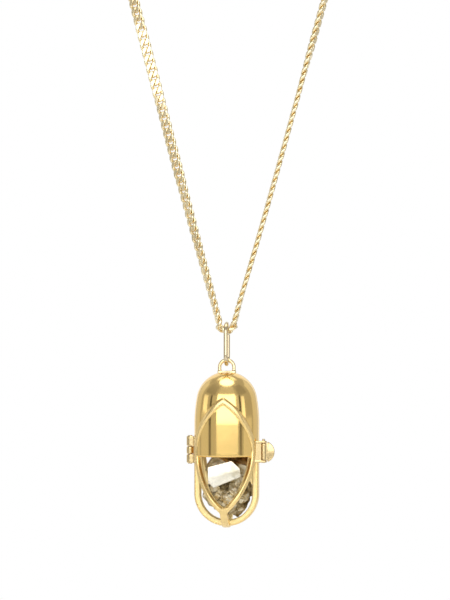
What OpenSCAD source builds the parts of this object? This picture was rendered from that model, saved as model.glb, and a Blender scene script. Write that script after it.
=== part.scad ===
// Capsule pendant on a curb chain.
// The origin is the middle of the clasp at the nape. +Z is up, and the pendant hangs in front, at -Y.
// The capsule is drawn in its own frame: its axis is Z, and z = 0 is the top of its dome.

/* [Capsule] */
// Outer radius of the capsule's straight part
capsule_r = 6.5; // [6.4:0.1:6.6]
// Height of the capsule's shell
capsule_h = 30.9; // [28:0.1:36]
// Wall of the shell
wall = 1.15; // [0.9:0.05:1.4]
// Radius of the dome's crown
crown_r = 6.1; // [6:0.1:6.2]
// Depth of the dome's lower edge under its top
cut_depth = 16.9; // [16:0.1:18]
// Gap between the two halves
seam = 0.1; // [0.08:0.01:0.14]

/* [Pointed rib] */
// Half the rib's width at its widest level
rib_half_w = 6.2; // [5.6:0.1:6.3]
// Depth of the widest level under the dome's top
rib_level = 15.8; // [15:0.1:17]
// Height of the pointed arch above the widest level
rib_up = 10.6; // [9:0.1:11]
// Height of the pointed arch below the widest level
rib_down = 12.9; // [11:0.1:13]
// Height of the rib's band at its two points
rib_tip = 1.05; // [0.9:0.05:1.2]
// Width of the rib's band at its widest level, seen from the front
rib_side = 0.47; // [0.4:0.01:0.6]
// How far the rib stands proud of the shell
rib_proud = 0.3; // [0.2:0.05:0.4]
// Width of the stem under the rib
stem_w = 1.5; // [1.4:0.1:2]
// Depth of each half's rim bar, from the seam
bar_depth = 1.3; // [1:0.1:1.6]

/* [Side hinge] */
// Distance from the capsule's axis to the hinge's axis
hinge_x = 7.4; // [7.35:0.05:7.6]
// Radius of a knuckle
knuckle_r = 0.7; // [0.65:0.01:0.72]
// Radius of the hinge pin
hinge_pin_r = 0.32; // [0.25:0.01:0.35]

/* [Clasp lever] */
// Distance from the capsule's axis to the lever's pin, sideways
lever_x = 7.56; // [7.5:0.02:7.7]
// Distance from the seam to the lever's pin
lever_y = 1.2; // [1.1:0.05:1.3]
// Radius of the thumb tab
tab_r = 2.2; // [1.9:0.1:2.4]
// Radius of the lever's barrel
barrel_r = 0.55; // [0.5:0.01:0.58]
// Radius of the lever's pin
lever_pin_r = 0.28; // [0.22:0.01:0.3]

/* [Loop and bail] */
// Outer width of the loop on the dome
loop_w = 3.6; // [3.4:0.1:4]
// Radius of the loop's wire
loop_wire_r = 0.36; // [0.3:0.01:0.4]
// Height of the loop's round centre over the dome's top
loop_rise = 0.86; // [0.8:0.02:1.2]
// Radius of the bail's wire
bail_wire_r = 0.42; // [0.38:0.01:0.46]
// Depth of the bail, front to back
bail_depth = 4.5; // [4.4:0.1:5]

/* [Chain] */
// Radius of the tube that the chain's links lie along
chain_r = 0.7; // [0.6:0.02:0.72]
// Length of the plain clasp at the nape
neck_clasp_l = 12; // [10:0.5:12]

/* [Hidden] */

$fn = 64;
gap = 0.06;          // clearance between neighbouring pieces
pin_clear = 0.04;    // radial clearance of a turning pin
far = 20;            // longer than the capsule is wide

// Levels of the capsule's profile. The crown's arc and the flatter side arc under it touch on the line between
// their centres, which is the long side of an 11-60-61 triangle, so that they meet without a step.
slim = capsule_r - crown_r;
side_in = 60 * slim;
crown_drop = 11 * slim;
dome_side_r = crown_r + 61 * slim;
crown_z = -crown_r;
shoulder_z = crown_z - crown_drop;
base_z = capsule_r - capsule_h;
cut_z = -cut_depth;
// Point far out on the line where the two arcs meet
crown_ray = [side_in, crown_z + crown_drop];

// Pointed rib and stem
rib_z = -rib_level;
rib_side_angle = 25; // the rib's side wall at its widest level, from the seam
stem_top_z = -27.1;

// Hinge levels, from the top knuckle's top to the bottom knuckle's bottom
hinge_z = [-12.9, -14.95, -16.54, -18.3];
leaf_proud = 0.22;       // thickness of the hinge's leaf on the shell
leaf_y = [0.6, 2.4];
arm_y = [0.15, 0.7];
arm_in = 0.3;            // how far a knuckle's arm runs into the shell
pin_head_h = 0.12;
pin_head_r = 0.45;

// Clasp levels
lug_z = [-13.75, -18.1];
lug_t = 0.45;
lug_r = 0.62;
lug_root = [[5.4, -2.6], [6.1, -0.15]];
casing_outline = [[5.5, -2.5], [7.15, -1.92], [7.15, -1.72], [6, -1.85]];
tab_z = -15.96;
tab_t = 0.6;
tab_face_r = 13.9;
tab_face_in = 13.6;
tab_gap_x = 0.74;
tab_root_x = 0.2;        // how far the plate from the barrel runs into the tab
tab_root_in = 0.05;      // how much thinner that plate is on each side
nose_z = [-16.6, -15.2];
nose_x = [-0.16, 0.19];
nose_back_y = 0.9;
keeper_z = [-17.9, -13.9];
keeper_outline = [[6.1, 0.15], [7.25, 0.2], [7.25, 1], [5.6, 2.4]];
pin_proud = 0.38;

// Loop, pad and the notch that clears them
loop_mid_r = loop_w / 2 - loop_wire_r;
loop_inner_top = loop_rise + loop_mid_r - loop_wire_r;
pad_half_w = 1.8;
pad_y = [-0.5, 0.8];
pad_z = [-0.45, 0.15];
notch_clear = 0.13;

// Levels of the whole necklace
front_y = -65;
chain_low_z = -218;
dome_drop = 8.1;         // from the chain's lowest point to the top of the dome
bail_slack = 0.34;       // between the bail and the top of the chain's tube
bail_top_z = chain_low_z + chain_r + bail_slack + bail_wire_r;
dome_top_z = chain_low_z - dome_drop;
bail_low_z = dome_top_z + loop_inner_top - gap - bail_wire_r;
bail_mid_r = bail_depth / 2 - bail_wire_r;

neck_clasp_r = 1.5;

// Route of the chain's right side, from the nape clasp down to the bail
right_route = [
    [6.1, 0, 0], [18, -3, 0], [31, -10, -1], [42, -19, -2], [50, -30, -4],
    [54, -41, -9], [55, -49, -18], [52.5, -53.5, -31], [48, -55.5, -47], [33.4, -58.5, -100],
    [17, -61.9, -160], [6.1, -64.3, -200], [2.4, -65, -213], [1.4, -65, -216.6], [1, -65, -217.6]
];
chain_low = [0, front_y, chain_low_z];
right_count = len(right_route);
route = concat(
    right_route,
    [chain_low],
    [for (i = [1 : right_count]) let (p = right_route[right_count - i]) [-p[0], p[1], p[2]]]
);
last = len(route) - 1;
steps = 2;           // rings for each stretch of the route
sides = 8;

function unit(v) = v / norm(v);

// Direction of the route at one of its points, led by the shorter neighbour
function heading(i) =
    let (
        a = i > 0 ? route[i] - route[i - 1] : route[1] - route[0],
        b = i < last ? route[i + 1] - route[i] : a
    )
    unit(unit(a) * norm(b) + unit(b) * norm(a));

// Point on the smooth curve between route points i and i + 1
function on_curve(i, t) =
    let (reach = norm(route[i + 1] - route[i]))
    route[i] * (2 * t * t * t - 3 * t * t + 1)
    + heading(i) * reach * (t * t * t - 2 * t * t + t)
    + route[i + 1] * (3 * t * t - 2 * t * t * t)
    + heading(i + 1) * reach * (t * t * t - t * t);

curve = concat([for (i = [0 : last - 1], s = [0 : steps - 1]) on_curve(i, s / steps)], [route[last]]);
rings = len(curve);

function along(k) = unit(curve[min(k + 1, rings - 1)] - curve[max(k - 1, 0)]);

// The side vector of ring k, made square to the curve again at each ring
function squared(v, k) = unit(v - along(k) * (v * along(k)));
side_vectors = [for (k = 0, v = squared([0, 0, 1], 0); k < rings; k = k + 1, v = squared(v, min(k, rings - 1))) v];

function ring_point(k, j) =
    let (u = side_vectors[k], w = cross(along(k), u), turn = 360 * j / sides)
    curve[k] + chain_r * (cos(turn) * u + sin(turn) * w);

module swept_chain() {
    points = [for (k = [0 : rings - 1], j = [0 : sides - 1]) ring_point(k, j)];
    walls = [for (k = [0 : rings - 2], j = [0 : sides - 1]) let (n = (j + 1) % sides)
        [k * sides + j, (k + 1) * sides + j, (k + 1) * sides + n, k * sides + n]];
    first_cap = [for (j = [0 : sides - 1]) j];
    end_cap = [for (j = [0 : sides - 1]) rings * sides - 1 - j];
    polyhedron(points, concat(walls, [first_cap, end_cap]), convexity = 6);
}

// Half section of the capsule, grown outwards by a distance. x is the radius and y the height.
module profile(grow) {
    intersection() {
        translate([0, crown_z]) circle(crown_r + grow);
        polygon([[0, crown_z], crown_ray, [0, far]]);
    }
    intersection() {
        translate([-side_in, shoulder_z]) circle(dome_side_r + grow);
        polygon([[0, crown_z], crown_ray, [far, shoulder_z], [0, shoulder_z]]);
    }
    translate([0, base_z]) square([capsule_r + grow, shoulder_z - base_z]);
    intersection() {
        translate([0, base_z]) circle(capsule_r + grow);
        translate([0, base_z - far]) square([far, far]);
    }
}

module shell(grow) {
    rotate_extrude() difference() {
        profile(grow);
        profile(-wall);
    }
}

// A block between two corners
module block(low, high) {
    translate(low) cube(high - low);
}

// Everything in front of the seam, between two levels
module front_space(low_z, high_z) {
    block([-far, -far, low_z], [far, -seam / 2, high_z]);
}

// A pointed outline round the widest level, from two arcs a side. x is sideways and y the height.
module pointed(half_w, up, down) {
    for (part = [[up, 0], [down, -far]]) {
        arc_r = (pow(part[0], 2) + pow(half_w, 2)) / (2 * half_w);
        intersection() {
            translate([half_w - arc_r, rib_z]) circle(arc_r);
            translate([arc_r - half_w, rib_z]) circle(arc_r);
            translate([-far, rib_z + part[1]]) square([2 * far, far]);
        }
    }
}

// The pointed band, extruded forwards and kept off the seam at the sides
module rib_band() {
    intersection() {
        rotate([90, 0, 0]) linear_extrude(far) difference() {
            pointed(rib_half_w, rib_up, rib_down);
            pointed(rib_half_w - rib_side, rib_up - rib_tip, rib_down - rib_tip);
        }
        translate([0, 0, -capsule_h]) linear_extrude(capsule_h + far) polygon([
            [0, 0],
            [-far * cos(rib_side_angle), -far * sin(rib_side_angle)],
            [0, -2 * far],
            [far * cos(rib_side_angle), -far * sin(rib_side_angle)]
        ]);
    }
}

// What the two halves share, drawn in front of the seam
module half_shell() {
    intersection() {
        shell(0);
        union() {
            front_space(cut_z, far);
            intersection() {
                front_space(-2 * far, cut_z + seam);
                block([-far, -bar_depth, -2 * far], [far, 0, 0]);
            }
        }
    }
    intersection() {
        shell(rib_proud);
        union() {
            rib_band();
            intersection() {
                front_space(-2 * far, stem_top_z);
                block([-stem_w / 2, -far, -2 * far], [stem_w / 2, 0, 0]);
            }
        }
    }
}

// One knuckle of the side hinge between two levels
module knuckle(low_z, high_z) {
    translate([-hinge_x, 0, low_z]) cylinder(r = knuckle_r, h = high_z - low_z);
}

// An arm from a knuckle to the shell, in front of the seam
module knuckle_arm(low_z, high_z) {
    block([-hinge_x, -arm_y[1], low_z], [-capsule_r + arm_in, -arm_y[0], high_z]);
}

// The hinge's leaf on the shell, in front of the seam
module leaf() {
    intersection() {
        shell(leaf_proud);
        block([-far, -leaf_y[1], hinge_z[3]], [0, -leaf_y[0], hinge_z[0]]);
    }
}

module hinge_bore() {
    translate([-hinge_x, 0, -far]) cylinder(r = hinge_pin_r + pin_clear, h = far);
}

// One lug of the clasp with its bore, from its top downwards
module lug(top_z) {
    translate([0, 0, top_z - lug_t]) linear_extrude(lug_t) {
        translate([lever_x, -lever_y]) circle(lug_r);
        polygon([lug_root[0], [lever_x, -lever_y - lug_r], [lever_x, -lever_y + lug_r], lug_root[1]]);
    }
}

// Wall between the two lugs that closes the clasp to the front
module casing() {
    translate([0, 0, lug_z[1] + lug_t / 2]) linear_extrude(lug_z[0] - lug_z[1] - lug_t) polygon(casing_outline);
}

module lever_bore() {
    translate([lever_x, -lever_y, -far]) cylinder(r = lever_pin_r + pin_clear, h = far);
}

module hanging_loop() {
    translate([0, 0, loop_rise]) rotate([90, 0, 0])
        rotate_extrude(angle = 180) translate([loop_mid_r, 0]) circle(loop_wire_r, $fn = 32);
    for (x = [-loop_mid_r, loop_mid_r])
        translate([x, 0, pad_z[0] + gap]) cylinder(r = loop_wire_r, h = loop_rise - pad_z[0] - gap, $fn = 32);
    block([-pad_half_w, pad_y[0], pad_z[0]], [pad_half_w, pad_y[1], pad_z[1]]);
}

module place_capsule() {
    translate([0, front_y, dome_top_z]) children();
}

module front_half() {
    color("gold") place_capsule() difference() {
        union() {
            half_shell();
            leaf();
            knuckle(hinge_z[1] + gap / 2, hinge_z[0]);
            knuckle_arm(hinge_z[1] + gap / 2, hinge_z[0]);
            knuckle(hinge_z[3], hinge_z[2] - gap / 2);
            knuckle_arm(hinge_z[3], hinge_z[2] - gap / 2);
            lug(lug_z[0]);
            lug(lug_z[1] + lug_t);
            casing();
        }
        hinge_bore();
        lever_bore();
        block(
            [-pad_half_w - notch_clear, pad_y[0] - notch_clear, pad_z[0] - notch_clear],
            [pad_half_w + notch_clear, far, far]
        );
    }
}

module back_half() {
    color("goldenrod") place_capsule() {
        difference() {
            union() {
                mirror([0, 1, 0]) {
                    half_shell();
                    leaf();
                    knuckle_arm(hinge_z[2] + gap / 2, hinge_z[1] - gap / 2);
                }
                knuckle(hinge_z[2] + gap / 2, hinge_z[1] - gap / 2);
                translate([0, 0, keeper_z[0]]) linear_extrude(keeper_z[1] - keeper_z[0])
                    polygon(keeper_outline);
                hanging_loop();
            }
            hinge_bore();
        }
    }
}

module hinge_pin() {
    color("silver") place_capsule() {
        translate([-hinge_x, 0, hinge_z[3] - gap / 2])
            cylinder(r = hinge_pin_r, h = hinge_z[0] - hinge_z[3] + gap);
        for (z = [hinge_z[3] - gap / 2 - pin_head_h, hinge_z[0] + gap / 2])
            translate([-hinge_x, 0, z]) cylinder(r = pin_head_r, h = pin_head_h);
    }
}

module latch() {
    barrel_low = lug_z[1] + lug_t + gap;
    barrel_high = lug_z[0] - lug_t - gap;
    color("khaki") place_capsule() difference() {
        union() {
            translate([lever_x, -lever_y, barrel_low]) cylinder(r = barrel_r, h = barrel_high - barrel_low);
            block(
                [lever_x, -lever_y - tab_t / 2 + tab_root_in, barrel_low],
                [lever_x + tab_gap_x + tab_root_x, -lever_y + tab_t / 2 - tab_root_in, barrel_high]
            );
            intersection() {
                translate([lever_x, -lever_y + tab_t / 2, tab_z]) rotate([90, 0, 0]) cylinder(r = tab_r, h = tab_t);
                block([lever_x + tab_gap_x, -far, -far], [far, 0, 0]);
                translate([lever_x, -lever_y - tab_face_in, tab_z]) sphere(tab_face_r, $fn = 256);
                translate([lever_x, -lever_y + tab_face_in, tab_z]) sphere(tab_face_r, $fn = 256);
            }
            block([lever_x + nose_x[0], -lever_y, nose_z[0]], [lever_x + nose_x[1], nose_back_y, nose_z[1]]);
        }
        lever_bore();
    }
}

module latch_pin() {
    color("silver") place_capsule() translate([lever_x, -lever_y, lug_z[1] - gap])
        cylinder(r = lever_pin_r, h = lug_z[0] + pin_proud - lug_z[1] + gap);
}

module bail() {
    color("gold") translate([0, front_y, 0]) {
        for (end = [[bail_top_z - bail_mid_r, 0], [bail_low_z + bail_mid_r, 180]])
            translate([0, 0, end[0]]) rotate([end[1], 0, 0]) rotate([90, 0, 90])
                rotate_extrude(angle = 180) translate([bail_mid_r, 0]) circle(bail_wire_r, $fn = 32);
        for (y = [-bail_mid_r, bail_mid_r])
            translate([0, y, bail_low_z + bail_mid_r])
                cylinder(r = bail_wire_r, h = bail_top_z - bail_low_z - 2 * bail_mid_r, $fn = 32);
    }
}

module chain() {
    color("gold") swept_chain();
}

module neck_clasp() {
    end_x = neck_clasp_l / 2 - neck_clasp_r;
    color("goldenrod") {
        translate([-end_x, 0, 0]) rotate([0, 90, 0]) cylinder(r = neck_clasp_r, h = 2 * end_x);
        for (x = [-end_x, end_x]) translate([x, 0, 0]) sphere(neck_clasp_r);
    }
}

// The main crystal's block: centre in the capsule's frame, size, and how it faces forwards, leans back and tips
main_at = [-0.36, -1.66, -20.75];
main_size = [6.2, 3.4, 3.9];
main_facing = 7;
main_lean = -16;
main_tip = -21.5;

// Crystals round it: centre in the capsule's frame, edge, and turns about X, Y and Z
crystals = [
    //  x     y     z     edge  turn_x turn_y turn_z
    [-1.9, 0.6, -18.6, 3.6, 20, 30, 10],
    [2.1, -0.3, -19.3, 3.4, 35, 15, 30],
    [0.3, 1.8, -20.6, 4.0, 25, 20, 15],
    [-1.7, -0.6, -24.3, 3.7, 30, 48, 12],
    [1.9, -0.6, -23.9, 3.8, 52, 14, 18],
    [0.2, -1.8, -25.4, 3.4, 42, 22, 28],
    [1.1, 0.7, -26.0, 3.7, 18, 30, 45],
    [-1.6, 1.5, -23.3, 3.6, 60, 25, 30],
    [1.9, 1.4, -23.0, 3.4, 10, 15, 60]
];

module pyrite() {
    color("darkgray") place_capsule() {
        translate(main_at) rotate([0, 0, main_facing]) rotate([main_lean, 0, 0]) rotate([0, main_tip, 0])
            cube(main_size, center = true);
        for (c = crystals)
            translate([c[0], c[1], c[2]]) rotate([c[4], c[5], c[6]]) cube(c[3], center = true);
    }
}

chain();
neck_clasp();
bail();
back_half();
pyrite();
front_half();
hinge_pin();
latch();
latch_pin();
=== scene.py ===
"""Capsule pendant on a curb chain: materials, dressed pieces, light and camera.

Lengths in the shape code are millimetres in the capsule's own frame, where z = 0 is the top of the dome.
Meshes are made in metres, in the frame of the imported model.
"""
import math

import bpy
import numpy as np
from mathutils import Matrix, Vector


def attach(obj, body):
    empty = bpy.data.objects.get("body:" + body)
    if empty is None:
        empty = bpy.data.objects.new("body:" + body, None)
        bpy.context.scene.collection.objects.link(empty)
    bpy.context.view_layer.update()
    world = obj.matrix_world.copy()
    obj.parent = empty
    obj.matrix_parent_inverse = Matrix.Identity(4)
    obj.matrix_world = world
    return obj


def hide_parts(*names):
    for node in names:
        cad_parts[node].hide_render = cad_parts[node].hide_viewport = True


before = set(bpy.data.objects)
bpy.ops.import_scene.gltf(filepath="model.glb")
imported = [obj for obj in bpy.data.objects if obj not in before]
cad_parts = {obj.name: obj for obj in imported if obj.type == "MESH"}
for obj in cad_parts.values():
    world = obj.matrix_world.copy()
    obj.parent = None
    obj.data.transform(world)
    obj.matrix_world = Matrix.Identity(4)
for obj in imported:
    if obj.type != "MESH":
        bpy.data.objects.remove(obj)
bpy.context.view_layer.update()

MM = 0.001
SCENE = bpy.context.scene

TINY = 1e-9

# Places of the necklace, in millimetres
FRONT_Y = -65.0
CHAIN_LOW_Z = -218.0
DOME_DROP = 8.1
DOME_TOP_Z = CHAIN_LOW_Z - DOME_DROP
CAPSULE_ORIGIN = np.array([0.0, FRONT_Y, DOME_TOP_Z])

# Capsule, in millimetres: a round crown, a side arc that widens it, a straight wall and a round base. The
# crown and the side arc meet where their common normal rises by 11 in 60 and is 61 long.
CAPSULE_R = 6.5
CAPSULE_H = 30.9
WALL = 1.15
CROWN_R = 6.1
LEAN_RISE = 11
LEAN_RUN = 60
LEAN_LENGTH = 61
SLIM = CAPSULE_R - CROWN_R
SIDE_IN = LEAN_RUN * SLIM
SIDE_R = CROWN_R + LEAN_LENGTH * SLIM
CROWN_Z = -CROWN_R
SHOULDER_Z = CROWN_Z - LEAN_RISE * SLIM
BASE_Z = CAPSULE_R - CAPSULE_H
CUT_Z = -16.9
SEAM = 0.1
BAR_DEPTH = 1.3
BAR_OVERLAP = 0.3

# Pointed rib and stem
RIB_HALF_W = 6.2
RIB_Z = -15.8
RIB_UP = 10.6
RIB_DOWN = 12.9
RIB_WIDTH = 1.0
RIB_PROUD = 0.3
RIB_GROW = 0.06
RIB_CROWN = 0.22
STEM_W = 1.5
STEM_TOP_Z = -26.95
LEAST_SLOPE = 0.3

# Rounding of a half's edges, and fillets between its parts
WALL_ROUND = 0.25
CUT_ROUND = 0.45
BAR_ROUND = 0.3
RIB_ROUND = 0.3
BAND_ROUND = 0.2
SEAM_ROUND = 0.12
BAR_FILLET = 0.15
STEM_FILLET = 0.2
RIB_FILLET = 0.22

# Hinge on the left
HINGE_X = 7.4
KNUCKLE_R = 0.7
KNUCKLE_ROUND = 0.3
HINGE_Z = (-12.9, -14.95, -16.54, -18.3)
ARM_Y = (0.15, 0.7)
ARM_ROOT = 0.3
ARM_ROUND = 0.15
ARM_FILLET = 0.12
LEAF_Y = (0.6, 2.4)
LEAF_PROUD = 0.22
LEAF_ROOT = 0.4
LEAF_ROUND = 0.15
GAP = 0.06

# Clasp on the right: lugs and casing on the front half, keeper on the back half, and the lever
LEVER_X = 7.56
LEVER_Y = 1.2
LUG_Z = (-13.75, -18.1)
LUG_T = 0.45
LUG_R = 0.62
LUG_PLATE = [(5.6, -2.5), (LEVER_X, -LEVER_Y - LUG_R), (LEVER_X, -LEVER_Y + LUG_R), (6.1, -0.15)]
LUG_ROUND = 0.14
CASING = [(5.5, -2.5), (7.15, -1.92), (7.15, -1.72), (6.0, -1.85)]
CASING_Z = (-18.0, -13.85)
CASING_ROUND = 0.08
FITTINGS_FILLET = 0.08
KEEPER = [(6.1, 0.15), (7.25, 0.2), (7.25, 1.0), (5.6, 2.4)]
KEEPER_Z = (-17.9, -13.9)
KEEPER_ROUND = 0.2
BARREL_R = 0.55
BARREL_ROUND = 0.18
BARREL_FILLET = 0.2
ROOT_THIN = 0.05
ROOT_OVERLAP = 0.2
TAB_R = 2.2
TAB_Z = -15.96
TAB_T = 0.6
TAB_GAP_X = 0.74
TAB_THIN = 0.18
TAB_ROUND = 0.22
TAB_CUT_ROUND = 0.12
NOSE_LOW = (LEVER_X - 0.16, -LEVER_Y, -16.6)
NOSE_HIGH = (LEVER_X + 0.19, 0.9, -15.2)
NOSE_ROUND = 0.12
NOSE_FILLET = 0.05
LEVER_FILLET = 0.15

# Loop and its pad on top of the dome
LOOP_WIRE_R = 0.36
LOOP_MID_R = 1.44
LOOP_RISE = 0.86
LOOP_FILLET = 0.3
LEG_END = 0.1
PAD_HALF_W = 1.8
PAD_Y = (-0.5, 0.8)
PAD_Z = (-0.45, 0.15)
PAD_ROUND = 0.25
PAD_CLEAR = 0.13


def unit(v):
    return v / np.linalg.norm(v)


# Distance fields

def smooth_max(a, b, k):
    """Intersection with its edge rounded over about k."""
    h = np.clip(0.5 - 0.5 * (b - a) / k, 0.0, 1.0)
    return b + (a - b) * h + k * h * (1.0 - h)


def smooth_min(a, b, k):
    """Union with a fillet of about k."""
    return -smooth_max(-a, -b, k)


def joined(parts, k):
    """Union of several fields, each join with a fillet of about k."""
    whole = parts[0]
    for part in parts[1:]:
        whole = smooth_min(whole, part, k)
    return whole


def capsule_field(p):
    """Signed distance to the capsule's outer face, and its outward normal."""
    radius = np.maximum(np.hypot(p[:, 0], p[:, 1]), TINY)
    z = p[:, 2]
    lean = LEAN_RISE / LEAN_RUN
    crown = z >= CROWN_Z + lean * radius
    base = z < BASE_Z
    straight = (z < SHOULDER_Z) & ~base
    centre_r = np.where(crown | base | straight, 0.0, -SIDE_IN)
    centre_z = np.where(crown, CROWN_Z, np.where(base, BASE_Z, np.where(straight, z, SHOULDER_Z)))
    face_r = np.where(crown, CROWN_R, np.where(base | straight, CAPSULE_R, SIDE_R))
    out_r = radius - centre_r
    out_z = z - centre_z
    reach = np.maximum(np.hypot(out_r, out_z), TINY)
    normal_r = out_r / reach
    normal = np.stack([normal_r * p[:, 0] / radius, normal_r * p[:, 1] / radius, out_z / reach], axis=1)
    return reach - face_r, normal


def pointed_field(p, outer, normal):
    """Distance across the surface to the pointed outline, negative inside it."""
    on_face = p - normal * (outer - RIB_PROUD)[:, None]
    x = on_face[:, 0]
    z = on_face[:, 2]
    rise = np.where(z > RIB_Z, RIB_UP, RIB_DOWN)
    arc_r = (rise ** 2 + RIB_HALF_W ** 2) / (2 * RIB_HALF_W)
    centre_x = np.where(x < 0, 1.0, -1.0) * (arc_r - RIB_HALF_W)
    dx = x - centre_x
    dz = z - RIB_Z
    reach = np.maximum(np.hypot(dx, dz), TINY)
    grad = np.stack([dx / reach, np.zeros_like(x), dz / reach], axis=1)
    along_normal = np.sum(grad * normal, axis=1)
    slope = np.sqrt(np.maximum(1.0 - along_normal ** 2, LEAST_SLOPE ** 2))
    return (reach - arc_r) / slope - RIB_GROW


def slab(v, low, high):
    """Distance to the space between two parallel planes."""
    return np.maximum(low - v, v - high)


def half_field(p):
    """Front half capsule: dome, rim bars, pointed rib and stem, all in front of the seam."""
    outer, normal = capsule_field(p)
    x, y, z = p.T
    inner = -(outer + WALL)
    plain = smooth_max(outer, inner, WALL_ROUND)
    proud = smooth_max(outer - RIB_PROUD, inner, RIB_ROUND)
    dome = smooth_max(plain, CUT_Z - z, CUT_ROUND)
    bars = smooth_max(plain, -y - BAR_DEPTH, BAR_ROUND)
    bars = np.maximum(bars, z - CUT_Z - BAR_OVERLAP)
    line = pointed_field(p, outer, normal)
    band = smooth_max(line, -(line + RIB_WIDTH), BAND_ROUND)
    crowned = proud + RIB_CROWN * np.minimum((line + RIB_WIDTH / 2) ** 2, 1.0)
    rib = smooth_max(crowned, band, RIB_ROUND)
    stem = smooth_max(proud, np.abs(x) - STEM_W / 2, RIB_ROUND)
    stem = np.maximum(stem, z - STEM_TOP_Z)
    walls = smooth_min(dome, bars, BAR_FILLET)
    trim = smooth_min(rib, stem, STEM_FILLET)
    return smooth_max(smooth_min(walls, trim, RIB_FILLET), y + SEAM / 2, SEAM_ROUND)


def notched_field(p):
    """The front half with the notch that clears the loop's pad."""
    notch = np.maximum(
        slab(p[:, 0], -PAD_HALF_W - PAD_CLEAR, PAD_HALF_W + PAD_CLEAR),
        np.maximum(PAD_Y[0] - PAD_CLEAR - p[:, 1], PAD_Z[0] - PAD_CLEAR - p[:, 2]),
    )
    return np.maximum(half_field(p), -notch)


def mirrored(p):
    """The points' mirror images behind the seam."""
    return p * np.array([1.0, -1.0, 1.0])


def box_field(p, low, high, k=0.1):
    """Box with rounded edges."""
    return smooth_max(
        smooth_max(slab(p[:, 0], low[0], high[0]), slab(p[:, 1], low[1], high[1]), k),
        slab(p[:, 2], low[2], high[2]), k,
    )


def post_field(p, x, y, r, low, high, k):
    """Upright cylinder with rounded ends."""
    return smooth_max(np.hypot(p[:, 0] - x, p[:, 1] - y) - r, slab(p[:, 2], low, high), k)


def polygon_field(x, y, corners):
    """Signed distance to a polygon in the plan."""
    corners = np.asarray(corners, dtype=float)
    best = np.full(x.shape, np.inf)
    sign = np.ones(x.shape)
    for i in range(len(corners)):
        a = corners[i]
        b = corners[i - 1]
        edge = b - a
        wx = x - a[0]
        wy = y - a[1]
        t = np.clip((wx * edge[0] + wy * edge[1]) / edge.dot(edge), 0.0, 1.0)
        best = np.minimum(best, (wx - edge[0] * t) ** 2 + (wy - edge[1] * t) ** 2)
        above_a = y >= a[1]
        below_b = y < b[1]
        left = edge[0] * wy > edge[1] * wx
        flip = (above_a & below_b & left) | (~above_a & ~below_b & ~left)
        sign = np.where(flip, -sign, sign)
    return sign * np.sqrt(best)


def leaf_field(p):
    """Leaf of the hinge on the front half's shell."""
    outer, _ = capsule_field(p)
    leaf = slab(outer, -LEAF_ROOT, LEAF_PROUD)
    leaf = smooth_max(leaf, slab(p[:, 1], -LEAF_Y[1], -LEAF_Y[0]), LEAF_ROUND)
    leaf = smooth_max(leaf, slab(p[:, 2], HINGE_Z[3], HINGE_Z[0]), LEAF_ROUND)
    return np.maximum(leaf, p[:, 0])


def knuckle_field(p, low, high, side):
    """A knuckle and its arm; side is -1 on the front half and 1 on the back half."""
    barrel = post_field(p, -HINGE_X, 0.0, KNUCKLE_R, low, high, KNUCKLE_ROUND)
    y_ends = sorted((side * ARM_Y[0], side * ARM_Y[1]))
    arm = box_field(p, (-HINGE_X, y_ends[0], low), (-CAPSULE_R + ARM_ROOT, y_ends[1], high), ARM_ROUND)
    return smooth_min(barrel, arm, ARM_FILLET)


def lug_field(p, top):
    """A flat lug of the clasp, with its upper face at that height."""
    x, y, z = p.T
    eye = np.hypot(x - LEVER_X, y + LEVER_Y) - LUG_R
    plate = polygon_field(x, y, LUG_PLATE)
    return smooth_max(np.minimum(eye, plate), slab(z, top - LUG_T, top), LUG_ROUND)


def front_fittings_field(p):
    """The front half's leaf, two knuckles, two lugs and the casing between the lugs."""
    return joined([
        leaf_field(p),
        knuckle_field(p, HINGE_Z[1] + GAP / 2, HINGE_Z[0], -1),
        knuckle_field(p, HINGE_Z[3], HINGE_Z[2] - GAP / 2, -1),
        lug_field(p, LUG_Z[0]),
        lug_field(p, LUG_Z[1] + LUG_T),
        smooth_max(polygon_field(p[:, 0], p[:, 1], CASING), slab(p[:, 2], *CASING_Z), CASING_ROUND),
    ], FITTINGS_FILLET)


def back_fittings_field(p):
    """The back half's middle knuckle, keeper and leaf."""
    keeper = smooth_max(polygon_field(p[:, 0], p[:, 1], KEEPER), slab(p[:, 2], *KEEPER_Z), KEEPER_ROUND)
    knuckle = knuckle_field(p, HINGE_Z[2] + GAP / 2, HINGE_Z[1] - GAP / 2, 1)
    return np.minimum(np.minimum(knuckle, keeper), leaf_field(mirrored(p)))


def loop_field(p):
    """The hanging loop, an arch of wire with two legs, on its pad."""
    x, y, z = p.T
    ring = np.abs(np.hypot(x, z - LOOP_RISE) - LOOP_MID_R)
    leg = np.abs(np.abs(x) - LOOP_MID_R)
    wire = np.hypot(np.where(z > LOOP_RISE, ring, leg), y) - LOOP_WIRE_R
    wire = np.maximum(wire, PAD_Z[0] + LEG_END - z)
    pad = box_field(p, (-PAD_HALF_W, PAD_Y[0], PAD_Z[0]), (PAD_HALF_W, PAD_Y[1], PAD_Z[1]), PAD_ROUND)
    return smooth_min(wire, pad, LOOP_FILLET)


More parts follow.
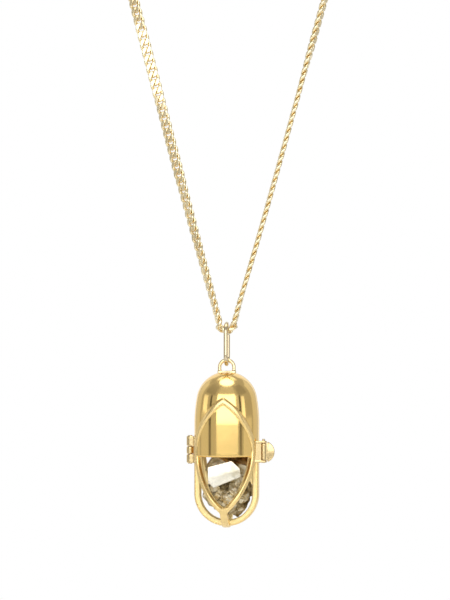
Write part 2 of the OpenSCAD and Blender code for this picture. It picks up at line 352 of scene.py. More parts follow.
def latch_field(p):
    """The clasp's lever: barrel, root, round thumb tab and nose."""
    x, y, z = p.T
    low = LUG_Z[1] + LUG_T + GAP
    high = LUG_Z[0] - LUG_T - GAP
    barrel = post_field(p, LEVER_X, -LEVER_Y, BARREL_R, low, high, BARREL_ROUND)
    root_low = (LEVER_X, -LEVER_Y - TAB_T / 2 + ROOT_THIN, low)
    root_high = (LEVER_X + TAB_GAP_X + ROOT_OVERLAP, -LEVER_Y + TAB_T / 2 - ROOT_THIN, high)
    root = box_field(p, root_low, root_high)
    from_middle = np.hypot(x - LEVER_X, z - TAB_Z)
    thick = TAB_T / 2 - TAB_THIN * (from_middle / TAB_R) ** 2
    tab = smooth_max(from_middle - TAB_R, np.abs(y + LEVER_Y) - thick, TAB_ROUND)
    tab = smooth_max(tab, LEVER_X + TAB_GAP_X - x, TAB_CUT_ROUND)
    nose = box_field(p, NOSE_LOW, NOSE_HIGH, NOSE_ROUND)
    turning = smooth_min(barrel, root, BARREL_FILLET)
    return smooth_min(turning, smooth_min(tab, nose, NOSE_FILLET), LEVER_FILLET)


# Meshing a distance field

GRADIENT_STEP = 0.004
SETTLE_ROUNDS = 3
SETTLE_REACH = 0.08
LEAST_GRADIENT_SQUARE = 0.05
MARGIN_CELLS = 2


def gradient(field, p):
    """The field's slope along each axis."""
    parts = []
    for axis in range(3):
        shift = np.zeros(3)
        shift[axis] = GRADIENT_STEP
        parts.append((field(p + shift) - field(p - shift)) / (2 * GRADIENT_STEP))
    return np.stack(parts, axis=1)


def sample_field(field, axes):
    """Field values on a grid, worked out one x layer at a time."""
    ys, zs = np.meshgrid(axes[1], axes[2], indexing="ij")
    layers = []
    for x in axes[0]:
        layer = np.stack([np.full(ys.size, x), ys.ravel(), zs.ravel()], axis=1)
        layers.append(field(layer).reshape(ys.shape))
    return np.array(layers)


def surface_net(values, axes):
    """Vertices and quads of the zero surface of a grid of values."""
    inside = values < 0
    shape = np.array(values.shape) - 1
    corners = [(i, j, k) for i in (0, 1) for j in (0, 1) for k in (0, 1)]

    def corner(grid, c):
        return grid[c[0]:c[0] + shape[0], c[1]:c[1] + shape[1], c[2]:c[2] + shape[2]]

    count_in = sum(corner(inside, c).astype(np.int8) for c in corners)
    active = (count_in > 0) & (count_in < 8)
    cells = np.argwhere(active)
    number = np.full(active.shape, -1, dtype=np.int64)
    number[active] = np.arange(len(cells))
    total = np.zeros((len(cells), 3))
    crossings = np.zeros(len(cells))
    for a in corners:
        for axis in range(3):
            if a[axis]:
                continue
            b = list(a)
            b[axis] = 1
            va = corner(values, a)[active]
            vb = corner(values, b)[active]
            cross = (va < 0) != (vb < 0)
            t = np.where(cross, va / np.where(cross, va - vb, 1.0), 0.0)
            place = np.tile(np.array(a, dtype=float), (len(cells), 1))
            place[:, axis] += t
            total += place * cross[:, None]
            crossings += cross
    start = np.array([a[0] for a in axes])
    step = axes[0][1] - axes[0][0]
    verts = start + (cells + total / crossings[:, None]) * step
    quads = []
    for axis in range(3):
        u = (axis + 1) % 3
        v = (axis + 2) % 3
        low = [slice(None)] * 3
        high = [slice(None)] * 3
        low[axis] = slice(0, -1)
        high[axis] = slice(1, None)
        starts_in = inside[tuple(low)]
        change = starts_in != inside[tuple(high)]
        at = np.argwhere(change)
        keep = np.all((at[:, [u, v]] > 0) & (at[:, [u, v]] < shape[[u, v]]), axis=1)
        at = at[keep]
        leaving = starts_in[tuple(at.T)]
        ring = []
        for du, dv in ((1, 1), (0, 1), (0, 0), (1, 0)):
            cell = at.copy()
            cell[:, u] -= du
            cell[:, v] -= dv
            ring.append(number[tuple(cell.T)])
        ring = np.stack(ring, axis=1)
        quads.append(np.where(leaving[:, None], ring, ring[:, ::-1]))
    return verts, np.concatenate(quads)


def settle(field, verts):
    """Moves the vertices onto the zero surface and gives its normals."""
    for _ in range(SETTLE_ROUNDS):
        grad = gradient(field, verts)
        size = np.maximum(np.sum(grad ** 2, axis=1), LEAST_GRADIENT_SQUARE)
        move = grad * (field(verts) / size)[:, None]
        length = np.linalg.norm(move, axis=1)
        verts = verts - move * np.minimum(1.0, SETTLE_REACH / np.maximum(length, TINY))[:, None]
    grad = gradient(field, verts)
    return verts, grad / np.maximum(np.linalg.norm(grad, axis=1), TINY)[:, None]


def make_object(name, verts, faces, normals=None):
    """A smooth-shaded mesh object in the scene."""
    mesh = bpy.data.meshes.new(name)
    mesh.from_pydata(np.asarray(verts).tolist(), [], [list(map(int, f)) for f in faces])
    mesh.shade_smooth()
    if normals is not None:
        mesh.normals_split_custom_set_from_vertices(np.asarray(normals).tolist())
    piece = bpy.data.objects.new(name, mesh)
    SCENE.collection.objects.link(piece)
    return piece


def field_piece(name, field, low, high, step, finish_and_painted_fill=None):
    """A piece meshed from a distance field inside a box, in the capsule's frame."""
    axes = [
        np.arange(a - MARGIN_CELLS * step, b + (MARGIN_CELLS + 0.5) * step, step)
        for a, b in zip(low, high)
    ]
    values = sample_field(field, axes)
    verts, faces = surface_net(values, axes)
    verts, normals = settle(field, verts)
    piece = make_object(name, (verts + CAPSULE_ORIGIN) * MM, faces, normals)
    if finish_and_painted_fill is not None:
        layer = piece.data.attributes.new("finish_and_painted_fill", "FLOAT", "POINT")
        layer.data.foreach_set("value", finish_and_painted_fill(verts).astype(np.float32))
    return piece


# How the gold is worked: 0 is mirror-polished, 1 is rough. Towards 1 the tone is also painted lighter, as
# painted fill light on the inside walls, which are in shade.
SATIN = 0.5
CROWN_HAZE = 0.15
CROWN_HAZE_RISE = 3.0
SATIN_PROUD = 0.12
SATIN_DROP = 0.35
ROUGH_DEPTH = 0.3


def shell_finish_and_painted_fill(p):
    """The finish and painted fill light of a half at each point: mirror on the dome, satin on rib, bars and
    stem, rough inside, where a lighter tone is also painted on as fill light for the walls in shade.
    """
    outer, _ = capsule_field(p)
    crown = CROWN_HAZE * np.clip((p[:, 2] - CROWN_Z) / CROWN_HAZE_RISE, 0.0, 1.0)
    cage = (outer > SATIN_PROUD) | (p[:, 2] < CUT_Z - SATIN_DROP)
    # Rough inside walls, on which the material also paints a lighter tone: painted fill light for walls in
    # shade
    inside = np.clip((-ROUGH_DEPTH - outer) / ROUGH_DEPTH, 0.0, 1.0)
    return np.maximum(np.where(cage, SATIN, crown), inside)


def dress(piece, body, slot_name, material, *nodes):
    """Puts a piece on its body, with its material, and hides the nodes it stands for. slot_name is not
    used.
    """
    piece.data.materials.append(material)
    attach(piece, body)
    if nodes:
        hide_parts(*nodes)


# Materials

# Strength of the relief and its height in metres
HAIRLINES = (0.05, 0.00002)
GRAIN_HEIGHT = 0.00012

# Tone and roughness of the worked gold, from mirror over satin to rough. The rough end's lighter tone is
# painted fill light, standing in for light that the shaded inside walls don't get.
WORKED_TONES = [(0.0, (0.97, 0.67, 0.24)), (SATIN, (0.97, 0.72, 0.32)), (1.0, (1.0, 0.84, 0.45))]
WORKED_ROUGHNESS = [(0.0, (0.12,) * 3), (SATIN, (0.26,) * 3), (1.0, (0.60,) * 3)]
ROUGHNESS_PATCHES = (0.65, 1.4)


class Nodes:
    """Short calls that add and link shader nodes."""

    def __init__(self, name):
        self.material = bpy.data.materials.new(name)
        self.material.use_nodes = True
        self.tree = self.material.node_tree
        self.shader = self.tree.nodes["Principled BSDF"]

    def add(self, kind, **values):
        """A new node, with values for its sockets or its own settings."""
        node = self.tree.nodes.new(kind)
        for key, value in values.items():
            if key in node.inputs:
                node.inputs[key].default_value = value
            else:
                setattr(node, key, value)
        return node

    def link(self, source, target):
        self.tree.links.new(source, target)

    def coords(self):
        return self.add("ShaderNodeTexCoord").outputs["Object"]

    def noise(self, scale, detail=3.0, roughness=0.5):
        node = self.add("ShaderNodeTexNoise", Scale=scale, Detail=detail, Roughness=roughness)
        self.link(self.coords(), node.inputs["Vector"])
        return node.outputs["Fac"]

    def ramp(self, source, stops):
        node = self.add("ShaderNodeValToRGB")
        ramp = node.color_ramp
        while len(ramp.elements) < len(stops):
            ramp.elements.new(0.5)
        for element, (place, color) in zip(ramp.elements, stops):
            element.position = place
            element.color = (*color, 1.0)
        self.link(source, node.inputs["Fac"])
        return node.outputs["Color"]

    def spread(self, source, low, high):
        node = self.add("ShaderNodeMapRange")
        node.inputs["To Min"].default_value = low
        node.inputs["To Max"].default_value = high
        self.link(source, node.inputs["Value"])
        return node.outputs["Result"]

    def product(self, kind, a, b):
        node = self.add(kind, operation="MULTIPLY")
        self.link(a, node.inputs[0])
        self.link(b, node.inputs[1])
        return node.outputs[0]

    def bump(self, source, strength, distance):
        node = self.add("ShaderNodeBump", Strength=strength, Distance=distance)
        self.link(source, node.inputs["Height"])
        self.link(node.outputs["Normal"], self.shader.inputs["Normal"])


def gold_material(name, light, deep, rough_low, rough_high, scale):
    """Polished gold plate: slight tone changes, soft patches of roughness and fine hairline marks."""
    n = Nodes(name)
    n.shader.inputs["Metallic"].default_value = 1.0
    tone = n.ramp(n.noise(scale * 0.25, detail=4.0), [(0.35, light), (0.7, deep)])
    n.link(tone, n.shader.inputs["Base Color"])
    patches = n.noise(scale, detail=5.0, roughness=0.65)
    n.link(n.spread(patches, rough_low, rough_high), n.shader.inputs["Roughness"])
    n.bump(n.noise(scale * 6.0, detail=4.0, roughness=0.7), *HAIRLINES)
    return n.material


def worked_gold_material(name):
    """Gold plate whose tone and roughness follow the piece's layer of finish, which towards its rough end
    also paints a lighter tone on as fill light for walls in shade.
    """
    n = Nodes(name)
    n.shader.inputs["Metallic"].default_value = 1.0
    finish_and_painted_fill = n.add("ShaderNodeAttribute", attribute_name="finish_and_painted_fill").outputs["Fac"]
    tone = n.ramp(finish_and_painted_fill, WORKED_TONES)
    shade = n.ramp(n.noise(75.0, detail=4.0), [(0.35, (1.0, 1.0, 1.0)), (0.7, (0.96, 0.95, 0.92))])
    n.link(n.product("ShaderNodeVectorMath", tone, shade), n.shader.inputs["Base Color"])
    rough = n.ramp(finish_and_painted_fill, WORKED_ROUGHNESS)
    patches = n.spread(n.noise(300.0, detail=5.0, roughness=0.65), *ROUGHNESS_PATCHES)
    n.link(n.product("ShaderNodeMath", rough, patches), n.shader.inputs["Roughness"])
    n.bump(n.noise(1800.0, detail=4.0, roughness=0.7), *HAIRLINES)
    return n.material


def pyrite_material(name, stops, metallic, rough, relief):
    """Brassy grey stone: blotches of tone, patches of dull and bright, and a fine grain."""
    n = Nodes(name)
    n.shader.inputs["Metallic"].default_value = metallic
    blotches = n.noise(330.0, detail=6.0, roughness=0.6)
    n.link(n.ramp(blotches, stops), n.shader.inputs["Base Color"])
    patches = n.noise(900.0, detail=6.0, roughness=0.7)
    n.link(n.spread(patches, *rough), n.shader.inputs["Roughness"])
    n.bump(n.noise(1500.0, detail=8.0, roughness=0.65), relief, GRAIN_HEIGHT)
    return n.material


def paper_material(name, color, roughness):
    """Plain paper with a hardly visible change of tone."""
    n = Nodes(name)
    n.shader.inputs["Roughness"].default_value = roughness
    tone = n.ramp(n.noise(60.0, detail=2.0), [(0.0, tuple(c * 0.99 for c in color)), (1.0, color)])
    n.link(tone, n.shader.inputs["Base Color"])
    return n.material


# Chain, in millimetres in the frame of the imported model

RIGHT_ROUTE = [
    (6.1, 0, 0), (18, -3, 0), (31, -10, -1), (42, -19, -2), (50, -30, -4),
    (54, -41, -9), (55, -49, -18), (52.5, -53.5, -31), (48, -55.5, -47), (33.4, -58.5, -100),
    (17, -61.9, -160), (6.1, -64.3, -200), (2.4, -65, -213), (1.4, -65, -216.6), (1, -65, -217.6),
]
LINK_PITCH = 1.7
LINK_WIRE_R = 0.36
LINK_HALF_L = 1.22
LINK_HALF_W = 0.79
LINK_FULLNESS = 0.7
LINK_TWIST = math.radians(56)
LINK_FLAT = 0.49
LINK_STEPS = 24
WIRE_SIDES = 10
ROUTE_STEPS = 60
HEADING_REACH = 0.9

# An unrolled link faces away from the neck above the first height, and to the front below the second
NECK_MIDDLE = np.array([0.0, -30.0, 0.0])
TO_FRONT = np.array([0.0, -1.0, 0.0])
FACE_AWAY_Z = -20.0
FACE_FRONT_Z = -60.0


def chain_route():
    """The route's points from one end of the clasp down to the bail and up to the other end."""
    left = [(-x, y, z) for x, y, z in reversed(RIGHT_ROUTE)]
    return np.array(RIGHT_ROUTE + [(0, FRONT_Y, CHAIN_LOW_Z)] + left, dtype=float)


def route_curve(route):
    """Dense points of the smooth curve through the route's points."""
    last = len(route) - 1

    def heading(i):
        a = route[i] - route[i - 1] if i > 0 else route[1] - route[0]
        b = route[i + 1] - route[i] if i < last else a
        return unit(unit(a) * np.linalg.norm(b) + unit(b) * np.linalg.norm(a))

    points = []
    for i in range(last):
        reach = np.linalg.norm(route[i + 1] - route[i])
        for t in np.arange(ROUTE_STEPS) / ROUTE_STEPS:
            points.append(
                route[i] * (2 * t ** 3 - 3 * t ** 2 + 1)
                + heading(i) * reach * (t ** 3 - 2 * t ** 2 + t)
                + route[i + 1] * (3 * t ** 2 - 2 * t ** 3)
                + heading(i + 1) * reach * (t ** 3 - t ** 2)
            )
    points.append(route[last])
    return np.array(points)


def link_template():
    """One curb link: an oval wire twisted about the chain's direction and ground flat on both faces.

    Gives vertices, normals and faces. The axes are along the chain, across it and through its thickness.
    """
    turns = np.arange(LINK_STEPS) * 2 * math.pi / LINK_STEPS
    along = LINK_HALF_L * np.cos(turns)
    width = LINK_HALF_W * np.sign(np.sin(turns)) * np.abs(np.sin(turns)) ** LINK_FULLNESS
    twist = LINK_TWIST * along / LINK_HALF_L
    centre = np.stack([along, width * np.cos(twist), width * np.sin(twist)], axis=1)
    tangent = np.roll(centre, -1, axis=0) - np.roll(centre, 1, axis=0)
    tangent /= np.linalg.norm(tangent, axis=1)[:, None]
    outward = centre - tangent * np.sum(centre * tangent, axis=1)[:, None]
    outward /= np.linalg.norm(outward, axis=1)[:, None]
    side = np.cross(tangent, outward)
    around = (np.arange(WIRE_SIDES) * 2 * math.pi / WIRE_SIDES)[None, :, None]
    normals = np.cos(around) * outward[:, None] + np.sin(around) * side[:, None]
    verts = (centre[:, None] + LINK_WIRE_R * normals).reshape(-1, 3)
    normals = normals.reshape(-1, 3)
    ground = np.abs(verts[:, 2]) > LINK_FLAT
    normals[ground] = np.sign(verts[ground, 2])[:, None] * np.array([0.0, 0.0, 1.0])
    verts[:, 2] = np.clip(verts[:, 2], -LINK_FLAT, LINK_FLAT)
    faces = []
    for i in range(LINK_STEPS):
        here = i * WIRE_SIDES
        ahead = (i + 1) % LINK_STEPS * WIRE_SIDES
        for j in range(WIRE_SIDES):
            j2 = (j + 1) % WIRE_SIDES
            faces.append((here + j, here + j2, ahead + j2, ahead + j))
    return verts, normals, np.array(faces)


# Each side's roll in degrees by the length from the bottom. The left side jumps over the rolls from -21 to
# -28, in which the links' flat faces would mirror a dark card.
LEFT_ROLL = [
    (0, -68), (5.4, -66), (9.6, -60), (13.8, -55), (18, -50), (22, -45), (26.4, -41), (31, -36),
    (32.6, -17), (40, -15), (48, -13), (50, -4), (53, 2), (63, 4), (65, -12), (70, -15), (110, -14),
    (160, 8), (300, 0),
]
RIGHT_ROLL = [(0, -82), (12, -98), (34, -101), (50, -100), (60, -78), (110, -76), (300, -76)]


def roll_at(from_low):
    """Turn of the links' flat face about the chain, in degrees: 0 shows the face to the front.

    The length from the bottom is negative on the left side.
    """
    return float(np.interp(abs(from_low), *zip(*(RIGHT_ROLL if from_low > 0 else LEFT_ROLL))))


def chain_links():
    """All links in one mesh, at an even pitch counted from the bottom both ways."""
    curve = route_curve(chain_route())
    lengths = np.concatenate([[0.0], np.cumsum(np.linalg.norm(np.diff(curve, axis=0), axis=1))])
    middle = lengths[-1] / 2

    def at_length(length):
        return np.array([np.interp(length, lengths, curve[:, axis]) for axis in range(3)])

    count = int((middle - LINK_HALF_L) / LINK_PITCH - 0.5) + 1
    template, template_normals, faces = link_template()
    all_verts = []
    all_normals = []
    all_faces = []
    for k in np.arange(-count, count) + 0.5:
        at = middle - k * LINK_PITCH
        place = at_length(at)
        forward = unit(at_length(at + HEADING_REACH) - at_length(at - HEADING_REACH))
        face_out = place - NECK_MIDDLE
        face_out[2] = 0.0
        if place[2] < FACE_FRONT_Z:
            face_out = TO_FRONT
        elif place[2] < FACE_AWAY_Z:
            blend = (FACE_AWAY_Z - place[2]) / (FACE_AWAY_Z - FACE_FRONT_Z)
            face_out = unit(face_out) * (1 - blend) + TO_FRONT * blend
        face_out = unit(face_out - forward * face_out.dot(forward))
        across = np.cross(face_out, forward)
        roll = math.radians(roll_at(k * LINK_PITCH))
        wide = across * math.cos(roll) + face_out * math.sin(roll)
        thick = np.cross(forward, wide)
        axes = np.stack([forward, wide, thick])
        all_faces.append(faces + len(all_verts) * len(template))
        all_verts.append(place + template @ axes)
        all_normals.append(template_normals @ axes)
    verts = np.concatenate(all_verts) * MM
    return make_object("chain_links", verts, np.concatenate(all_faces), np.concatenate(all_normals))


# Pyrite cluster

MAIN_AT = np.array([-0.36, -1.66, -20.6])
MAIN_DEPTH = 3.4
MAIN_OUTLINE = [(-2.5, 2.55), (2.4, 2.05), (3.35, -0.1), (2.95, -1.75), (-3.0, -1.75), (-3.5, -0.1)]
MAIN_TURNS = (7, -8, -21.5)
STEP_B = 0.6
STEP_SLOPE = 0.157
STEP_TILT = math.tan(math.radians(9))
MAIN_ROUND = 0.14
STEP_ROUND = 0.12
CAGE_ROOM = 0.12

# Crystals round the main one: centre, edge, and turns about X, Y and Z
DARK_CRYSTALS = [
    (-1.7, 0.6, -18.6, 3.8, 20, 30, 10),
    (2.4, 0.6, -19.1, 3.8, 35, 15, 30),
    (0.3, 1.8, -20.6, 4.0, 25, 20, 15),
    (1.9, 1.4, -23.0, 3.4, 10, 15, 60),
]
ROUGH_CRYSTALS = [
    (-1.7, -0.6, -24.3, 3.7, 30, 48, 12),
    (1.9, -0.6, -23.9, 3.8, 52, 14, 18),
    (0.2, -1.8, -25.4, 3.4, 42, 22, 28),
    (1.1, 0.7, -26.0, 3.7, 18, 30, 45),
    (-1.6, 1.5, -23.3, 3.6, 60, 25, 30),
    (3.1, 0.8, -23.4, 2.9, 20, 35, 40),
]
MATRIX_GROW = 0.22
MATRIX_FILLET = 0.6

# Rough surface: height, size and seed of each layer of noise
MATRIX_NOISE = [(0.30, 1.1, 3), (0.16, 0.5, 5), (0.08, 0.25, 8)]
DARK_NOISE = (0.04, 0.7, 4)
LATTICE = 24
SMALL_CRYSTALS = [
    (-1.5, -3.7, -24.6, 1.1, 20, 35, 15),
    (-0.5, -3.9, -25.2, 0.9, 50, 10, 40),
    (0.6, -3.8, -24.9, 1.2, 15, 25, 60),
    (1.5, -3.5, -24.2, 0.9, 35, 45, 10),
    (0.0, -3.7, -26.0, 1.0, 60, 30, 20),
    (-2.6, -3.0, -25.0, 1.0, 25, 50, 30),
    (2.9, -2.3, -25.4, 1.1, 40, 15, 50),
    (3.6, -1.6, -24.2, 1.0, 10, 40, 25),
    (3.3, 0.6, -25.8, 1.2, 30, 20, 35),
    (-3.3, 1.2, -24.8, 1.1, 45, 35, 15),
    (-1.0, 3.6, -23.6, 1.3, 15, 50, 30),
    (1.0, 3.4, -25.0, 1.2, 35, 10, 55),
]


def turn_about(axis, degrees):
    """Rotation matrix about X, Y or Z, which are 0, 1 and 2."""
    angle = math.radians(degrees)
    i = (axis + 1) % 3
    j = (axis + 2) % 3
    turn = np.eye(3)
    turn[i, i] = math.cos(angle)
    turn[j, j] = math.cos(angle)
    turn[j, i] = math.sin(angle)
    turn[i, j] = -math.sin(angle)
    return turn


def edge_distance(local):
    """Distance to a block from coordinates taken past its faces."""
    return np.linalg.norm(np.maximum(local, 0.0), axis=1) + np.minimum(local.max(axis=1), 0.0)


def cube_field(p, row):
    """A cube from a row of the tables of crystals."""
    x, y, z, edge, turn_x, turn_y, turn_z = row
    turn = turn_about(2, turn_z) @ turn_about(1, turn_y) @ turn_about(0, turn_x)
    return edge_distance(np.abs((p - np.array([x, y, z])) @ turn) - edge / 2)


def main_crystal_field(p):
    """The block whose stepped face shows in the front opening."""
    facing, lean, tip = MAIN_TURNS
    turn = turn_about(2, facing) @ turn_about(0, lean) @ turn_about(1, tip)
    a, depth, b = ((p - MAIN_AT) @ turn).T
    block = smooth_max(polygon_field(a, b, MAIN_OUTLINE), np.abs(depth) - MAIN_DEPTH / 2, MAIN_ROUND)
    lower_face = -depth - MAIN_DEPTH / 2 + (STEP_B - STEP_SLOPE * a - b) * STEP_TILT
    return smooth_max(block, lower_face, STEP_ROUND)


def lattice_noise(p, height, size, seed):
    """Smooth noise up to that height, with one random value at each point of a lattice."""
    table = np.random.RandomState(seed).uniform(-1, 1, (LATTICE, LATTICE, LATTICE))
    q = p / size
    cell = np.floor(q).astype(int)
    f = q - cell
    f = f * f * (3 - 2 * f)
    total = np.zeros(len(p))
    for i in (0, 1):
        for j in (0, 1):
            for k in (0, 1):
                weight = (f[:, 0] if i else 1 - f[:, 0]) * (f[:, 1] if j else 1 - f[:, 1])
                weight = weight * (f[:, 2] if k else 1 - f[:, 2])
                c = (cell + (i, j, k)) % LATTICE
                total += weight * table[c[:, 0], c[:, 1], c[:, 2]]
    return height * total


def in_cage(p, field):
    """Keeps a stone off the capsule's inner face."""
    outer, _ = capsule_field(p)
    return np.maximum(field, outer + WALL + CAGE_ROOM)


def main_field(p):
    return in_cage(p, main_crystal_field(p))


def small_field(p):
    return in_cage(p, np.min([cube_field(p, row) for row in SMALL_CRYSTALS], axis=0))


def matrix_field(p):
    """The rough lower mass, grown and roughened, with the dark crystals behind the main one."""
    mass = joined([cube_field(p, row) for row in ROUGH_CRYSTALS], MATRIX_FILLET)
    mass = mass + sum(lattice_noise(p, *layer) for layer in MATRIX_NOISE) - MATRIX_GROW
    dark = np.min([cube_field(p, row) for row in DARK_CRYSTALS], axis=0) + lattice_noise(p, *DARK_NOISE)
    return in_cage(p, np.minimum(mass, dark))


# Pieces

capsule_gold = worked_gold_material("capsule_gold")

# Plain golds: light tone, deep tone, lowest and highest roughness, and scale of the patches
bail_gold = gold_material("bail_gold", (0.73, 0.61, 0.41), (0.69, 0.57, 0.37), 0.08, 0.15, 300.0)
loop_gold = gold_material("loop_gold", (0.97, 0.79, 0.48), (0.94, 0.75, 0.42), 0.14, 0.22, 300.0)
fitting_gold = gold_material("fitting_gold", (0.79, 0.61, 0.32), (0.74, 0.56, 0.28), 0.16, 0.26, 300.0)
# The chain's gold is partly its own paler tone and partly painted light: lightened to stand in for brighter
# light and glints on the links, and made less red against the orange of light bouncing between them
chain_gold = gold_material("chain_gold", (0.95, 0.82, 0.54), (0.90, 0.75, 0.45), 0.09, 0.18, 500.0)
crystal_look = pyrite_material(
    "pyrite_faces", [(0.28, (0.56, 0.50, 0.36)), (0.44, (0.75, 0.71, 0.58)), (0.60, (0.86, 0.82, 0.70))],
    metallic=0.9, rough=(0.16, 0.34), relief=0.10,
)
glint_look = pyrite_material(
    "pyrite_glints", [(0.30, (0.40, 0.31, 0.16)), (0.46, (0.66, 0.56, 0.36)), (0.62, (0.88, 0.81, 0.62))],
    metallic=0.9, rough=(0.14, 0.36), relief=0.2,
)
matrix_look = pyrite_material(
    "pyrite_rough", [(0.37, (0.12, 0.08, 0.028)), (0.50, (0.42, 0.33, 0.175)), (0.62, (0.74, 0.67, 0.50))],
    metallic=0.7, rough=(0.20, 0.60), relief=0.6,
)

# Gold for the solids, of which nape clasp, bail and pins stay in sight
for node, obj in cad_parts.items():
    obj.data.materials.clear()
    obj.data.materials.append(chain_gold if node in ("chain", "neck_clasp") else bail_gold)

# Cell sizes of the grids that the pieces are meshed on, and the boxes that hold the pieces
SHELL_CELL = 0.17
FITTINGS_CELL = 0.09
FINE_CELL = 0.07
MAIN_CELL = 0.11
SMALL_CELL = 0.1
MATRIX_CELL = 0.14
FRONT_BOX = ((-7.0, -7.0, -31.4), (7.0, 0.0, 0.2))
BACK_BOX = ((-7.0, 0.0, -31.4), (7.0, 7.0, 0.2))
FRONT_FITTINGS_BOX = ((-8.2, -3.0, -18.5), (8.3, 0.0, -12.7))
BACK_FITTINGS_BOX = ((-8.2, -0.8, -18.5), (7.4, 3.0, -12.7))
LOOP_BOX = ((-1.95, -0.6, -0.6), (1.95, 0.9, 2.8))
LEVER_BOX = ((6.9, -1.9, -18.3), (9.9, 1.0, -13.6))
MAIN_BOX = ((-4.6, -5.2, -24.4), (4.0, 1.0, -17.0))
SMALL_BOX = ((-5.2, -5.2, -27.4), (5.2, 5.2, -22.2))
MATRIX_BOX = ((-5.2, -5.2, -29.8), (5.2, 5.2, -15.4))

dress(
    field_piece("front_shell", notched_field, *FRONT_BOX, SHELL_CELL, shell_finish_and_painted_fill),
    "front", "capsule_gold", capsule_gold, "front_half",
)
dress(
    field_piece("back_shell", lambda p: half_field(mirrored(p)), *BACK_BOX, SHELL_CELL, shell_finish_and_painted_fill),
    "back", "capsule_gold", capsule_gold, "back_half",
)
dress(
    field_piece("front_fittings", front_fittings_field, *FRONT_FITTINGS_BOX, FITTINGS_CELL),
    "front", "capsule_gold", fitting_gold,
)
dress(
    field_piece("back_fittings", back_fittings_field, *BACK_FITTINGS_BOX, FITTINGS_CELL),
    "back", "capsule_gold", fitting_gold,
)
dress(
    field_piece("hanging_loop", loop_field, *LOOP_BOX, FINE_CELL),
    "back", "capsule_gold", loop_gold,
)
dress(
    field_piece("clasp_lever", latch_field, *LEVER_BOX, FINE_CELL),
    "latch", "capsule_gold", fitting_gold, "latch",
)
dress(
    field_piece("main_crystal", main_field, *MAIN_BOX, MAIN_CELL),
    "back", "pyrite", crystal_look, "pyrite",
)
dress(
    field_piece("small_crystals", small_field, *SMALL_BOX, SMALL_CELL),
    "back", "pyrite", glint_look,
)
dress(
    field_piece("pyrite_matrix", matrix_field, *MATRIX_BOX, MATRIX_CELL),
    "back", "pyrite", matrix_look,
)
dress(chain_links(), "necklace", "chain_gold", chain_gold, "chain")


# Camera: level, 7 degrees round to the clasp's side, 600 mm away, with 5 pixels to the millimetre

IMAGE_W = 450
IMAGE_H = 600
PX_PER_MM = 5.0
AZIMUTH = math.radians(7)
DISTANCE = 600.0
AXIS_PX = 226.8
LOW_LINK_PX = 331.0
SENSOR = 36.0
CLIP_END = 20.0


def make_camera():
    right = np.array([math.cos(AZIMUTH), math.sin(AZIMUTH), 0.0])
    target = np.array([0.0, FRONT_Y, CHAIN_LOW_Z + (LOW_LINK_PX - IMAGE_H / 2) / PX_PER_MM])
    target -= right * (AXIS_PX - IMAGE_W / 2) / PX_PER_MM
    place = target + DISTANCE * np.array([math.sin(AZIMUTH), -math.cos(AZIMUTH), 0.0])
    data = bpy.data.cameras.new("camera")
    data.sensor_fit = "VERTICAL"
    data.sensor_height = SENSOR
    data.lens = SENSOR * DISTANCE * PX_PER_MM / IMAGE_H
    data.clip_end = CLIP_END
    camera = bpy.data.objects.new("camera", data)
    camera.location = Vector(place * MM)
    camera.rotation_euler = Vector((target - place) * MM).to_track_quat("-Z", "Y").to_euler()
    SCENE.collection.objects.link(camera)
    SCENE.camera = camera


# Studio: lengths in metres, cells in degrees
CARD_R = 2.6
DARK_CARD_R = CARD_R - 0.1
CARD_CELL = 5
FLOOR_Z = -0.8
FLOOR_R = 2.4
FLOOR_CELL = 10
FLOOR_WHITE = (0.95, 0.95, 0.94)
FLOOR_ROUGHNESS = 0.7
MIDDLE_DROP = 24.0
CAPSULE_MIDDLE = np.array([0.0, FRONT_Y, CHAIN_LOW_Z - MIDDLE_DROP]) * MM

# Light cards on a sphere round the capsule: name, reach sideways from the camera's direction, reach above
# level, pitch of the whole card upwards, and strength at the bottom and at the top. Angles are in degrees.
LIGHT_CARDS = [
    ("front_low_card", (-37, 46), (-55, -8), 0, 0.72, 0.68),
    ("front_dip_card", (-37, 46), (-8, -2), 0, 0.66, 0.36),
    ("front_edge_card", (-37, 41), (-2, 3), 0, 2.3, 2.4),
    ("front_high_card", (-37, 34), (3, 16), 0, 2.5, 2.5),
    ("front_fade_card", (-37, 34), (16, 30.5), 0, 2.5, 2.1),
    ("right_mid_card", (34, 46), (3, 26), 0, 0.68, 0.68),
    ("crown_card", (-36, 36), (30.5, 62), 0, 0.58, 0.66),
    ("left_glow_card", (-98, -78), (5, 20), 0, 1.4, 0.9),
    ("right_glow_card", (57, 71), (2, 20), 0, 1.6, 1.0),
    ("left_mid_card", (-58, -37), (-55, 22), 0, 0.54, 0.54),
    ("right_card", (62, 100), (-45, 2), 0, 0.54, 0.74),
    ("right_far_card", (108, 142), (-45, 42), 0, 0.56, 0.80),
    ("left_card", (-104, -70), (-45, 4.5), 0, 0.50, 0.68),
    ("left_far_card", (-142, -112), (-45, 42), 0, 0.56, 0.80),
    ("back_card", (146, 214), (-50, 50), 0, 1.0, 1.0),
    ("top_card", (-20, 20), (-19, 19), 84, 3.0, 3.0),
    ("top_back_card", (120, 240), (62, 84), 0, 1.4, 1.4),
]
DARK_CARDS = [
    ("dark_right", (48, 54), (-2.6, 24), 0, 0.04, 0.04),
    ("dark_right_low", (48, 54), (-45, -2.6), 0, 0.24, 0.24),
    ("dark_left", (-66, -59), (-2.6, 24), 0, 0.07, 0.07),
    ("dark_left_low", (-66, -59), (-45, -2.6), 0, 0.22, 0.22),
    ("dark_crown_right", (46, 92), (26, 57), 0, 0.34, 0.34),
    ("dark_crown_left", (-98, -48), (26, 57), 0, 0.31, 0.38),
]
WORLD_LEVEL = 0.46


def card_angles(ends):
    """Even steps between two angles, of at most the cell's size."""
    return np.radians(np.linspace(*ends, int((ends[1] - ends[0]) // CARD_CELL) + 2))


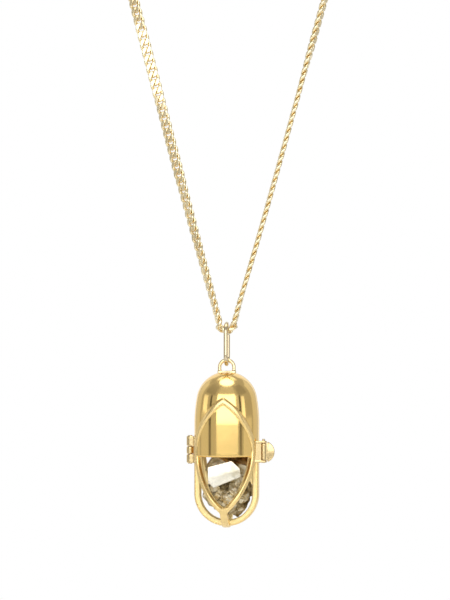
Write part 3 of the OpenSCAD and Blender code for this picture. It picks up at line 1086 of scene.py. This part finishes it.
def light_card(name, turns, rises, pitch, low, high, radius):
    """Part of a sphere round the capsule whose strength runs from low to high. The camera doesn't see it.

    A card with a pitch is round, not square.
    """
    az = card_angles(turns)
    el = card_angles(rises)
    if pitch:
        u = np.repeat(np.linspace(-1, 1, len(az)), len(el))
        v = np.tile(np.linspace(-1, 1, len(el)), len(az))
        right = u * np.sqrt(1 - v ** 2 / 2) * math.sin(az[-1])
        up = v * np.sqrt(1 - u ** 2 / 2) * math.sin(el[-1])
        local = np.stack([right, -np.sqrt(1 - right ** 2 - up ** 2), up], axis=1)
    else:
        grid_az, grid_el = (grid.ravel() for grid in np.meshgrid(az, el, indexing="ij"))
        level = np.cos(grid_el)
        local = np.stack([np.sin(grid_az) * level, -np.cos(grid_az) * level, np.sin(grid_el)], axis=1)
    direction = local @ (turn_about(2, math.degrees(AZIMUTH)) @ turn_about(0, -pitch)).T
    rows = len(el)
    faces = [
        (i * rows + j, (i + 1) * rows + j, (i + 1) * rows + j + 1, i * rows + j + 1)
        for i in range(len(az) - 1) for j in range(rows - 1)
    ]
    piece = make_object(name, CAPSULE_MIDDLE + radius * direction, faces)
    material = bpy.data.materials.new(name)
    material.use_nodes = True
    tree = material.node_tree
    tree.nodes.clear()
    out = tree.nodes.new("ShaderNodeOutputMaterial")
    glow = tree.nodes.new("ShaderNodeEmission")
    coords = tree.nodes.new("ShaderNodeTexCoord")
    split = tree.nodes.new("ShaderNodeSeparateXYZ")
    strength = tree.nodes.new("ShaderNodeMapRange")
    strength.inputs["To Min"].default_value = low
    strength.inputs["To Max"].default_value = high
    tree.links.new(coords.outputs["Generated"], split.inputs["Vector"])
    tree.links.new(split.outputs["Z"], strength.inputs["Value"])
    tree.links.new(strength.outputs["Result"], glow.inputs["Strength"])
    tree.links.new(glow.outputs["Emission"], out.inputs["Surface"])
    piece.data.materials.append(material)
    piece.visible_camera = False


def make_world():
    """White behind the object, and an even grey room for what the metal reflects."""
    world = bpy.data.worlds.new("studio")
    SCENE.world = world
    world.use_nodes = True
    tree = world.node_tree
    room = tree.nodes["Background"]
    room.inputs["Color"].default_value = (1.0, 1.0, 1.0, 1.0)
    room.inputs["Strength"].default_value = WORLD_LEVEL
    white = tree.nodes.new("ShaderNodeBackground")
    white.inputs["Color"].default_value = (1.0, 1.0, 1.0, 1.0)
    white.inputs["Strength"].default_value = 1.0
    seen = tree.nodes.new("ShaderNodeLightPath")
    mix = tree.nodes.new("ShaderNodeMixShader")
    tree.links.new(seen.outputs["Is Camera Ray"], mix.inputs["Fac"])
    tree.links.new(room.outputs["Background"], mix.inputs[1])
    tree.links.new(white.outputs["Background"], mix.inputs[2])
    tree.links.new(mix.outputs["Shader"], tree.nodes["World Output"].inputs["Surface"])


def make_studio():
    """The room, a pale round floor and the cards."""
    make_world()
    ring = np.radians(np.arange(0, 360, FLOOR_CELL))
    rim = [(FLOOR_R * math.cos(angle), FLOOR_R * math.sin(angle), FLOOR_Z) for angle in ring]
    floor = make_object("floor", rim, [range(len(rim))])
    floor.data.materials.append(paper_material("floor_paper", FLOOR_WHITE, FLOOR_ROUGHNESS))
    for row in LIGHT_CARDS:
        light_card(*row, CARD_R)
    for row in DARK_CARDS:
        light_card(*row, DARK_CARD_R)


make_camera()
make_studio()

BOUNCES = 12
SCENE.view_settings.view_transform = "Standard"
SCENE.cycles.glossy_bounces = BOUNCES
SCENE.cycles.max_bounces = BOUNCES
